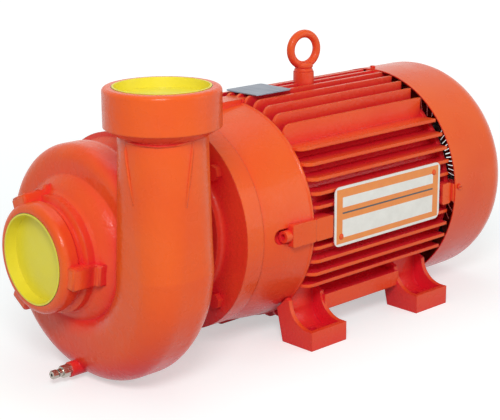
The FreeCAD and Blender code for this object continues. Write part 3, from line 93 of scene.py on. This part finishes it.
class Maker:
    """One material's node tree, with short calls for the nodes that are used again and again."""

    def __init__(self, name):
        self.material = bpy.data.materials.new(name)
        self.material.use_nodes = True
        self.tree = self.material.node_tree
        self.tree.nodes.clear()
        self.out = self.add("ShaderNodeOutputMaterial")
        self.coords = self.add("ShaderNodeTexCoord").outputs["Object"]

    def add(self, kind, **values):
        node = self.tree.nodes.new(kind)
        for key, value in values.items():
            setattr(node, key, value)
        return node

    def link(self, a, b):
        self.tree.links.new(a, b)

    def scaled(self, x, y, z):
        node = self.add("ShaderNodeMapping")
        node.inputs["Scale"].default_value = (x, y, z)
        self.link(self.coords, node.inputs["Vector"])
        return node.outputs["Vector"]

    def noise(self, scale, detail=3.0, rough=0.55, vector=None):
        node = self.add("ShaderNodeTexNoise")
        node.inputs["Scale"].default_value = scale
        node.inputs["Detail"].default_value = detail
        node.inputs["Roughness"].default_value = rough
        self.link(vector or self.coords, node.inputs["Vector"])
        return node.outputs["Fac"]

    def voronoi(self, scale, vector=None, feature="F1"):
        node = self.add("ShaderNodeTexVoronoi", feature=feature)
        node.inputs["Scale"].default_value = scale
        self.link(vector or self.coords, node.inputs["Vector"])
        return node.outputs["Distance"]

    def ramp(self, value, low, high, out_low=0.0, out_high=1.0):
        node = self.add("ShaderNodeMapRange", clamp=True)
        node.inputs["From Min"].default_value = low
        node.inputs["From Max"].default_value = high
        node.inputs["To Min"].default_value = out_low
        node.inputs["To Max"].default_value = out_high
        self.link(value, node.inputs["Value"])
        return node.outputs["Result"]

    def math(self, operation, a, b=None):
        node = self.add("ShaderNodeMath", operation=operation)
        for socket, value in zip(node.inputs, (a, b)):
            if value is None:
                continue
            if isinstance(value, (int, float)):
                socket.default_value = value
            else:
                self.link(value, socket)
        return node.outputs[0]

    def radius(self, a, a_mid, b, b_mid):
        """Distance from an axis at a_mid, b_mid in the plane of the two coordinates."""
        across = self.math("POWER", self.math("SUBTRACT", a, a_mid), 2.0)
        along = self.math("POWER", self.math("SUBTRACT", b, b_mid), 2.0)
        return self.math("SQRT", self.math("ADD", across, along))

    def mix(self, share, a, b):
        node = self.add("ShaderNodeMix", data_type="RGBA")
        for socket, value in ((node.inputs[0], share), (node.inputs[6], a), (node.inputs[7], b)):
            if isinstance(value, tuple):
                socket.default_value = (*value, 1.0)
            elif isinstance(value, (int, float)):
                socket.default_value = value
            else:
                self.link(value, socket)
        return node.outputs[2]

    def bevel(self, radius):
        node = self.add("ShaderNodeBevel", samples=4)
        node.inputs["Radius"].default_value = radius
        return node.outputs["Normal"]

    def bump(self, height, depth, strength=1.0, normal=None):
        node = self.add("ShaderNodeBump")
        node.inputs["Distance"].default_value = depth
        node.inputs["Strength"].default_value = strength
        self.link(height, node.inputs["Height"])
        if normal is not None:
            self.link(normal, node.inputs["Normal"])
        return node.outputs["Normal"]

    def shader(self, color, rough, normal=None, **values):
        node = self.add("ShaderNodeBsdfPrincipled")
        for name, value in (("Base Color", color), ("Roughness", rough), ("Normal", normal)):
            if value is None:
                continue
            if isinstance(value, tuple):
                node.inputs[name].default_value = (*value, 1.0)
            elif isinstance(value, (int, float)):
                node.inputs[name].default_value = value
            else:
                self.link(value, node.inputs[name])
        for name, value in values.items():
            node.inputs[name.replace("_", " ")].default_value = value
        self.link(node.outputs[0], self.out.inputs["Surface"])
        return node


ENAMEL = (0.84, 0.112, 0.010)
ENAMEL_WARM = (0.80, 0.085, 0.009)
# Painted shade colour: the crimson mixed into the enamel in hollows and on undersides
ENAMEL_PAINTED_SHADE = (0.78, 0.014, 0.034)
BARE_IRON = (0.20, 0.20, 0.21)
THREAD_PITCH = 0.003175
THREAD_DEPTH = 0.0009
BORE_PAST_CAP = 0.006
BORE_CLEARANCE = 0.0006
# Reach of the ambient occlusion that places the painted shade in hollows
PAINTED_SHADE_REACH = 0.10
ENAMEL_GLOSS = {"Specular_IOR_Level": 0.2, "Coat_Weight": 0.1, "Coat_Roughness": 0.08}


def enamel_color(m):
    """Orange with painted shade: it turns crimson in hollows found by ambient occlusion and on surfaces that
    face down.
    """
    color = m.mix(m.ramp(m.noise(9.0, 2.0), 0.35, 0.7), ENAMEL, ENAMEL_WARM)
    occlusion = m.add("ShaderNodeAmbientOcclusion", samples=6)
    occlusion.inputs["Distance"].default_value = PAINTED_SHADE_REACH
    # Painted shade in hollows: crimson where ambient occlusion is low
    shade = m.ramp(occlusion.outputs["AO"], 0.28, 0.92, 1.0, 0.0)
    upward = m.add("ShaderNodeSeparateXYZ")
    m.link(m.add("ShaderNodeNewGeometry").outputs["Normal"], upward.inputs[0])
    # Painted shade on undersides: crimson on faces that point down
    painted_underside_shade = m.ramp(upward.outputs["Z"], -0.85, 0.05, 0.5, 0.0)
    return m.mix(m.math("MAXIMUM", shade, painted_underside_shade), color, ENAMEL_PAINTED_SHADE)


def enamel(name, grain, depth, gloss=0.24, ease=0.0012):
    """Orange enamel. The grain is the cast surface under it, and ease is its edges' radius."""
    m = Maker(name)
    rough = m.ramp(m.noise(35.0, 3.0), 0.3, 0.7, gloss - 0.05, gloss + 0.09)
    height = m.math("ADD", m.noise(grain, 4.0), m.math("MULTIPLY", m.noise(420.0, 2.0), 0.12))
    normal = m.bump(height, depth, 1.0, m.bevel(ease))
    m.shader(enamel_color(m), rough, normal, **ENAMEL_GLOSS)
    return m.material


def casing_enamel(name):
    """Enamel on the casing, with the bare threaded bores of both ports left unpainted."""
    m = Maker(name)
    split = m.add("ShaderNodeSeparateXYZ")
    m.link(m.coords, split.inputs[0])
    low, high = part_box("suction_port_cap")
    level = (low.z + high.z) / 2
    bore = (high.z - low.z) / 2 + BORE_CLEARANCE
    front = m.radius(split.outputs["Y"], 0.0, split.outputs["Z"], level)
    inside_front = m.math("MULTIPLY", m.math("LESS_THAN", front, bore),
                          m.math("LESS_THAN", split.outputs["X"], high.x + BORE_PAST_CAP))
    low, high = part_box("discharge_port_cap")
    top = m.radius(split.outputs["X"], (low.x + high.x) / 2, split.outputs["Y"], (low.y + high.y) / 2)
    inside_top = m.math("MULTIPLY", m.math("LESS_THAN", top, bore),
                        m.math("GREATER_THAN", split.outputs["Z"], low.z - BORE_PAST_CAP))
    bare = m.math("MAXIMUM", inside_front, inside_top)

    def thread_along(inside, axis):
        wave = m.math("SINE", m.math("MULTIPLY", split.outputs[axis], 2 * math.pi / THREAD_PITCH))
        return m.math("MULTIPLY", inside, wave)

    thread = m.math("ADD", thread_along(inside_front, "X"), thread_along(inside_top, "Z"))
    color = m.mix(bare, enamel_color(m), BARE_IRON)
    rough = m.ramp(m.noise(35.0, 3.0), 0.3, 0.7, 0.2, 0.36)
    grain = m.bump(m.noise(120.0, 4.0), 0.0009, 1.0, m.bevel(0.003))
    normal = m.bump(thread, THREAD_DEPTH, 1.0, grain)
    node = m.shader(color, rough, normal, **ENAMEL_GLOSS)
    m.link(bare, node.inputs["Metallic"])
    return m.material


def plastic(name, base, low, rough, grain=260.0, depth=0.00025):
    m = Maker(name)
    color = m.mix(m.ramp(m.noise(14.0), 0.3, 0.7), base, low)
    gloss = m.ramp(m.noise(60.0), 0.3, 0.7, rough - 0.05, rough + 0.07)
    m.shader(color, gloss, m.bump(m.noise(grain, 3.0), depth, 1.0, m.bevel(0.0006)))
    return m.material


def metal(name, base, dark, rough, brush=(1.0, 1.0, 1.0), grain=300.0):
    m = Maker(name)
    streak = m.noise(grain, 3.0, 0.6, m.scaled(*brush))
    color = m.mix(m.ramp(m.noise(20.0), 0.3, 0.75), base, dark)
    gloss = m.ramp(streak, 0.25, 0.75, rough - 0.07, rough + 0.1)
    m.shader(color, gloss, m.bump(streak, 0.0001, 0.6, m.bevel(0.0005)), Metallic=1.0)
    return m.material


def coil_copper(name):
    """Varnished wire: fine turns round the shaft."""
    m = Maker(name)
    turns = m.voronoi(420.0, m.scaled(1.0, 0.35, 0.35))
    color = m.mix(m.ramp(turns, 0.1, 0.6), (0.50, 0.16, 0.05), (0.22, 0.06, 0.02))
    m.shader(color, 0.35, m.bump(turns, 0.0006, 1.0), Metallic=0.85)
    return m.material


def laminations(name):
    m = Maker(name)
    plates = m.noise(900.0, 1.0, 0.5, m.scaled(1.0, 0.02, 0.02))
    color = m.mix(m.ramp(plates, 0.35, 0.65), (0.30, 0.31, 0.33), (0.16, 0.16, 0.17))
    m.shader(color, 0.42, m.bump(plates, 0.0002, 1.0), Metallic=0.9)
    return m.material


def plate_print(name, low, high):
    """Plain plate: a white border round an orange field that carries two pale bands and a thin rule."""
    m = Maker(name)
    split = m.add("ShaderNodeSeparateXYZ")
    m.link(m.coords, split.inputs[0])
    across = m.ramp(split.outputs["X"], low.x, high.x, -1.0, 1.0)
    along = m.ramp(split.outputs["Z"], low.z, high.z, -1.0, 1.0)
    across_abs = m.math("ABSOLUTE", across)
    along_abs = m.math("ABSOLUTE", along)

    def within(value, limit):
        return m.math("LESS_THAN", value, limit)

    def band(middle, half):
        """1 on a level band about that height of the plate, 0 elsewhere."""
        away = m.math("ABSOLUTE", m.math("ADD", along, -middle))
        return m.math("MULTIPLY", within(across_abs, 0.86), within(away, half))

    field = m.math("MULTIPLY", within(across_abs, 0.965), within(along_abs, 0.91))
    band_a, band_b, rule = band(0.46, 0.17), band(-0.42, 0.30), band(0.10, 0.028)
    wear = m.ramp(m.noise(60.0, 4.0), 0.3, 0.8)
    orange = m.mix(wear, (0.86, 0.26, 0.02), (0.78, 0.20, 0.02))
    pale = m.mix(wear, (0.84, 0.82, 0.76), (0.74, 0.72, 0.66))
    color = m.mix(field, pale, orange)
    color = m.mix(band_a, color, pale)
    color = m.mix(band_b, color, pale)
    color = m.mix(rule, color, (0.05, 0.05, 0.05))
    m.shader(color, 0.32, m.bump(m.noise(300.0), 0.00012, 1.0), Coat_Weight=0.3, Coat_Roughness=0.15)
    return m.material


# Studio

WORLD_LIGHT = 0.42
FLOOR_LIFT_NEAR = 0.50
FLOOR_LIFT_FAR = 0.82


def soft_lamp(name, place, aim, size, power):
    data = bpy.data.lights.new(name, "AREA")
    data.size = size
    data.energy = power
    lamp = bpy.data.objects.new(name, data)
    scene.collection.objects.link(lamp)
    lamp.location = place
    lamp.rotation_euler = (Vector(aim) - Vector(place)).to_track_quat("-Z", "Y").to_euler()


def seen_ray(tree):
    """1 for what the camera, a mirror or a clear piece sees, 0 for the light on the object."""
    path = tree.nodes.new("ShaderNodeLightPath")
    seen = path.outputs["Is Camera Ray"]
    for name in ("Is Glossy Ray", "Is Transmission Ray"):
        most = tree.nodes.new("ShaderNodeMath")
        most.operation = "MAXIMUM"
        tree.links.new(seen, most.inputs[0])
        tree.links.new(path.outputs[name], most.inputs[1])
        seen = most.outputs[0]
    return seen


def make_world():
    """Even studio light, which is seen as plain white."""
    world = bpy.data.worlds.new("studio")
    world.use_nodes = True
    tree = world.node_tree
    tree.nodes.clear()
    out = tree.nodes.new("ShaderNodeOutputWorld")
    mix = tree.nodes.new("ShaderNodeMixShader")
    tree.links.new(seen_ray(tree), mix.inputs[0])
    for socket, strength in ((1, WORLD_LIGHT), (2, 1.0)):
        light = tree.nodes.new("ShaderNodeBackground")
        light.inputs["Color"].default_value = (1.0, 1.0, 1.0, 1.0)
        light.inputs["Strength"].default_value = strength
        tree.links.new(light.outputs[0], mix.inputs[socket])
    tree.links.new(mix.outputs[0], out.inputs["Surface"])
    scene.world = world


def make_floor():
    """White paper. The camera sees it lifted to white, most of all far away, where the lamps don't reach."""
    size = 12.0
    mesh = bpy.data.meshes.new("floor")
    mesh.from_pydata([(-size, -size, 0.0), (size, -size, 0.0), (size, size, 0.0), (-size, size, 0.0)], [],
                     [(0, 1, 2, 3)])
    floor = bpy.data.objects.new("floor", mesh)
    scene.collection.objects.link(floor)
    m = Maker("floor_paper")
    matte = m.add("ShaderNodeBsdfDiffuse")
    matte.inputs["Color"].default_value = (0.60, 0.65, 0.65, 1.0)
    split = m.add("ShaderNodeSeparateXYZ")
    m.link(m.coords, split.inputs[0])
    away = m.radius(split.outputs["X"], 0.0, split.outputs["Y"], 0.0)
    lift = m.ramp(away, 0.5, 2.4, FLOOR_LIFT_NEAR, FLOOR_LIFT_FAR)
    glow = m.add("ShaderNodeEmission")
    glow.inputs["Color"].default_value = (1.0, 1.0, 1.0, 1.0)
    m.link(m.math("MULTIPLY", seen_ray(m.tree), lift), glow.inputs["Strength"])
    both = m.add("ShaderNodeAddShader")
    m.link(matte.outputs[0], both.inputs[0])
    m.link(glow.outputs[0], both.inputs[1])
    m.link(both.outputs[0], m.out.inputs["Surface"])
    mesh.materials.append(m.material)


def paint(material, *names):
    for name in names:
        mesh = nodes[name].data
        if not mesh.materials:
            mesh.materials.append(material)
        for i in range(len(mesh.materials)):
            mesh.materials[i] = material


# Pieces of the scene's own

GRILLE_SLOTS = 48
GRILLE_SLOT = 0.0013
GRILLE_RINGS = ((0.040, 0.064), (0.070, 0.098))
GRILLE_CENTRE = 0.012
SAME_RADIUS = 1e-6
COVER_SHEET = 0.0016
COVER_SHOULDER = 0.042
SHOULDER_STEPS = 12

# Each collar rib's side view: distance behind EAR_FRONT, and height above the collar
EAR_LINE = ((0.0, -0.008), (0.001, 0.0085), (0.0035, 0.0105), (0.026, 0.0115), (0.0285, 0.0095),
            (0.0315, 0.0095), (0.034, 0.0155), (0.058, 0.0158), (0.0595, 0.008), (0.0595, -0.008))
EAR_ANGLES = (-8.0, 114.0, 238.0)
EAR_FRONT = 0.0045
EAR_WIDTH = 0.0275
EAR_ROUNDING = 0.0016
COLLAR_WALL = 0.0115

# Ridges on the neck, as points in the photograph's pixels
RIDGE_HALF_WIDTH = 0.0021
RIDGE_HEIGHT = 0.0025
RIDGE_FOOT = 0.0004
RIDGE_ROOT = 0.0012
RIDGE_STEPS = 24
LEFT_RIDGE = ((125, 143), (126.5, 160), (129.5, 182), (133.5, 206))
RIGHT_RIDGE = ((193, 142), (191.5, 160), (189, 182), (186.5, 208))
COLLAR_RIDGE = ((125, 142.5), (141, 145.5), (158, 147), (176, 145.5), (193, 142))


def add_piece(name, mesh, material):
    """An enamelled piece that is part of the pump's fixed body."""
    mesh.materials.append(material)
    piece = bpy.data.objects.new(name, mesh)
    scene.collection.objects.link(piece)
    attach(piece, "pump")
    return piece


def mesh_of(name, bm, sharp=35.0):
    """Mesh of a finished bmesh, smooth apart from edges that turn by more than sharp degrees."""
    bmesh.ops.recalc_face_normals(bm, faces=bm.faces)
    for face in bm.faces:
        face.smooth = True
    for edge in bm.edges:
        edge.smooth = edge.is_manifold and edge.calc_face_angle(0.0) < math.radians(sharp)
    mesh = bpy.data.meshes.new(name)
    bm.to_mesh(mesh)
    bm.free()
    return mesh


def cover_profile(front, back, radius, inset):
    """Line of the fan cover at a depth inside its outer skin, from the rim to the centre, as (x, radius)."""
    bend = COVER_SHOULDER - inset
    line = [(front, radius - inset)]
    for i in range(SHOULDER_STEPS + 1):
        a = math.radians(90.0 * i / SHOULDER_STEPS)
        line.append((back - COVER_SHOULDER + bend * math.sin(a), radius - COVER_SHOULDER + bend * math.cos(a)))
    rings = [r for pair in reversed(GRILLE_RINGS) for r in reversed(pair)]
    return line + [(back - inset, r) for r in rings + [GRILLE_CENTRE]]


def make_fan_cover(material):
    """The cover with its grille of narrow slots in two rings, which stands for the plainer solid."""
    low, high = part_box("fan_cover")
    front, back = low.x, high.x
    level, radius = (low.z + high.z) / 2, (high.y - low.y) / 2
    outer = cover_profile(front, back, radius, 0.0)
    inner = cover_profile(front, back, radius, COVER_SHEET)
    bm = bmesh.new()
    step = 2 * math.pi / GRILLE_SLOTS

    def rim_point(i, x, r):
        """Point i round the cover. Each slot has four: its two edges, and two on the bar beside it."""
        slot, part = divmod(i, 4)
        edge = math.asin(GRILLE_SLOT / 2 / max(r, 0.02))
        bar = (step - 2 * edge) / 3
        turn = slot * step + (-edge, edge, edge + bar, edge + 2 * bar)[part]
        return bm.verts.new((x, -r * math.cos(turn), level + r * math.sin(turn)))

    def is_slot_row(k):
        """Whether the band from profile point k to the next is one of the grille's rings."""
        return any(abs(outer[k][1] - b) < SAME_RADIUS and abs(outer[k + 1][1] - a) < SAME_RADIUS
                   for a, b in GRILLE_RINGS)

    count = 4 * GRILLE_SLOTS
    skins = [[[rim_point(i, x, r) for i in range(count)] for x, r in line] for line in (outer, inner)]
    for k in range(len(outer) - 1):
        for i in range(count):
            j = (i + 1) % count
            if is_slot_row(k) and i % 4 == 0:
                for a in (i, j):
                    bm.faces.new([skins[0][k][a], skins[0][k + 1][a], skins[1][k + 1][a], skins[1][k][a]])
                for row in (k, k + 1):
                    bm.faces.new([skins[0][row][i], skins[0][row][j], skins[1][row][j], skins[1][row][i]])
                continue
            for skin in skins:
                bm.faces.new([skin[k][i], skin[k][j], skin[k + 1][j], skin[k + 1][i]])
    for i in range(count):
        j = (i + 1) % count
        bm.faces.new([skins[0][0][i], skins[0][0][j], skins[1][0][j], skins[1][0][i]])
    for skin in skins:
        bm.faces.new(skin[-1])
    piece = add_piece("fan_cover_shell", mesh_of("fan_cover_shell", bm), material)
    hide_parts("fan_cover")


def make_collar_ears(material):
    """Bars over the three wrench ribs of the suction collar, each with a notch across it."""
    low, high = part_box("suction_port_cap")
    level = (low.z + high.z) / 2
    front = cad_low.x + EAR_FRONT
    collar = (high.z - low.z) / 2 + COLLAR_WALL
    bm = bmesh.new()
    for angle in EAR_ANGLES:
        path = [(front + x, collar + r) for x, r in EAR_LINE]
        near, far = [[bm.verts.new((x, -r, side * EAR_WIDTH / 2)) for x, r in path] for side in (-1, 1)]
        faces = [bm.faces.new(near), bm.faces.new(far[::-1])]
        for i in range(len(path)):
            j = (i + 1) % len(path)
            faces.append(bm.faces.new([near[j], near[i], far[i], far[j]]))
        edges = list({e for f in faces for e in f.edges})
        turn = Matrix.Rotation(-math.radians(angle), 4, "X")
        bmesh.ops.transform(bm, matrix=Matrix.Translation((0, 0, level)) @ turn, verts=near + far)
        bmesh.ops.bevel(bm, geom=edges, offset=EAR_ROUNDING, segments=3, affect="EDGES")
    add_piece("collar_ears", mesh_of("collar_ears", bm, 50.0), material)


def casing_spot(x, y):
    """Where the camera's ray through a pixel of the photograph meets the casing: the point and the normal."""
    place = scene.camera.matrix_world
    aim = Vector(((x - PHOTO_WIDTH / 2) / FOCAL_PIXELS, (PHOTO_HEIGHT / 2 - y) / FOCAL_PIXELS, -1.0))
    ray = (place.to_3x3() @ aim).normalized()
    _, point, normal, _ = nodes["volute_casing"].ray_cast(place.translation, ray)
    return point, normal


def along_line(pixels, share):
    """The pixel at a share of a line through a few named ones."""
    at = share * (len(pixels) - 1)
    k = min(int(at), len(pixels) - 2)
    return [a + (b - a) * (at - k) for a, b in zip(pixels[k], pixels[k + 1])]


def make_neck_ridges(material):
    """Low cast ridges that frame the front of the discharge neck below its collar."""
    bm = bmesh.new()
    for pixels in (LEFT_RIDGE, RIGHT_RIDGE, COLLAR_RIDGE):
        spots = [casing_spot(*along_line(pixels, i / RIDGE_STEPS)) for i in range(RIDGE_STEPS + 1)]
        rows = []
        for i, (point, normal) in enumerate(spots):
            ahead = spots[min(i + 1, RIDGE_STEPS)][0] - spots[max(i - 1, 0)][0]
            side = ahead.cross(normal).normalized()
            height = RIDGE_HEIGHT * min(1.0, 5 * i / RIDGE_STEPS + 0.05, 3 * (1 - i / RIDGE_STEPS) + 0.05)
            shape = [(-1.0, -RIDGE_FOOT), (-0.55, height * 0.6), (0.0, height), (0.55, height * 0.6),
                     (1.0, -RIDGE_FOOT), (0.0, -RIDGE_ROOT)]
            rows.append([bm.verts.new(point + side * (RIDGE_HALF_WIDTH * a) + normal * h) for a, h in shape])
        for a, b in zip(rows, rows[1:]):
            for i in range(len(a)):
                j = (i + 1) % len(a)
                bm.faces.new([a[i], a[j], b[j], b[i]])
        bm.faces.new(rows[0])
        bm.faces.new(rows[-1])
    add_piece("neck_ridges", mesh_of("neck_ridges", bm, 60.0), material)


make_camera()
make_world()
make_floor()
soft_lamp("key", (-1.5, -1.4, 1.5), (-0.1, 0.0, 0.15), 0.6, 27.0)
soft_lamp("fill", (1.2, -2.0, 0.7), (0.0, 0.0, 0.15), 1.4, 9.0)
soft_lamp("top", (0.2, 0.3, 2.2), (0.0, 0.0, 0.1), 1.6, 8.0)

cast = enamel("orange_cast", 120.0, 0.0009, 0.26, 0.003)
fine_cast = enamel("orange_fine_cast", 190.0, 0.0006, 0.27, 0.002)
sheet = enamel("orange_sheet", 45.0, 0.0003, 0.22, 0.001)
screws = enamel("orange_screws", 260.0, 0.0003, 0.3, 0.0008)
paint(casing_enamel("orange_casing"), "volute_casing")
make_collar_ears(cast)
make_neck_ridges(cast)
make_fan_cover(sheet)
paint(cast, "adapter_bracket")
paint(fine_cast, "motor_frame", "drive_end_shield", "rear_shield", "terminal_box", "terminal_box_cover",
      "eye_bolt")
paint(sheet, "fan_cover")
paint(screws, "casing_bolts", "adapter_bolts", "front_shield_bolts", "rear_shield_bolts", "fan_cover_screws",
      "plate_rivets")
paint(plastic("yellow_cap", (0.84, 0.73, 0.035), (0.78, 0.67, 0.04), 0.38),
      "suction_port_cap", "discharge_port_cap")
paint(metal("nickel", (0.60, 0.57, 0.52), (0.38, 0.35, 0.31), 0.22), "drain_cock_body", "drain_cock_stem")
paint(metal("plate_metal", (0.27, 0.30, 0.36), (0.19, 0.22, 0.27), 0.34, (1.0, 0.06, 1.0)), "top_plate")
paint(plate_print("plate_print", *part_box("side_plate")), "side_plate")
paint(metal("bronze", (0.55, 0.34, 0.14), (0.42, 0.24, 0.10), 0.3, (0.05, 1.0, 1.0)), "casing_wear_ring")
paint(metal("impeller_iron", (0.19, 0.19, 0.20), (0.11, 0.11, 0.115), 0.5), "impeller")
paint(metal("zinc", (0.62, 0.63, 0.62), (0.46, 0.48, 0.50), 0.3), "impeller_washer", "impeller_bolt",
      "terminal_box_screws", "terminal_box_hold_screws")
paint(metal("ground_steel", (0.56, 0.57, 0.58), (0.44, 0.45, 0.46), 0.22, (1.0, 0.05, 0.05)), "impeller_key",
      "seal_rotating_head", "motor_shaft", "front_bearing_inner_ring", "front_bearing_outer_ring",
      "front_bearing_balls", "rear_bearing_inner_ring", "rear_bearing_outer_ring", "rear_bearing_balls",
      "bearing_snap_ring", "fan_retaining_clip")
paint(metal("brass", (0.66, 0.46, 0.16), (0.50, 0.34, 0.12), 0.28), "front_bearing_cage", "rear_bearing_cage",
      "terminal_studs")
paint(laminations("core_steel"), "rotor_core", "stator_core")
paint(metal("cast_aluminium", (0.62, 0.63, 0.64), (0.48, 0.49, 0.50), 0.45), "rotor_cage")
paint(coil_copper("copper"), "stator_windings")
paint(plastic("ceramic", (0.80, 0.79, 0.74), (0.72, 0.71, 0.66), 0.3), "seal_fixed_seat")
paint(plastic("rubber", (0.02, 0.02, 0.02), (0.035, 0.035, 0.035), 0.65),
      "shaft_slinger", "terminal_box_gasket", "seal_bellows")
paint(plastic("fan_plastic", (0.025, 0.025, 0.03), (0.04, 0.04, 0.045), 0.5), "cooling_fan")
paint(plastic("block_plastic", (0.05, 0.045, 0.04), (0.08, 0.07, 0.06), 0.45), "terminal_block")
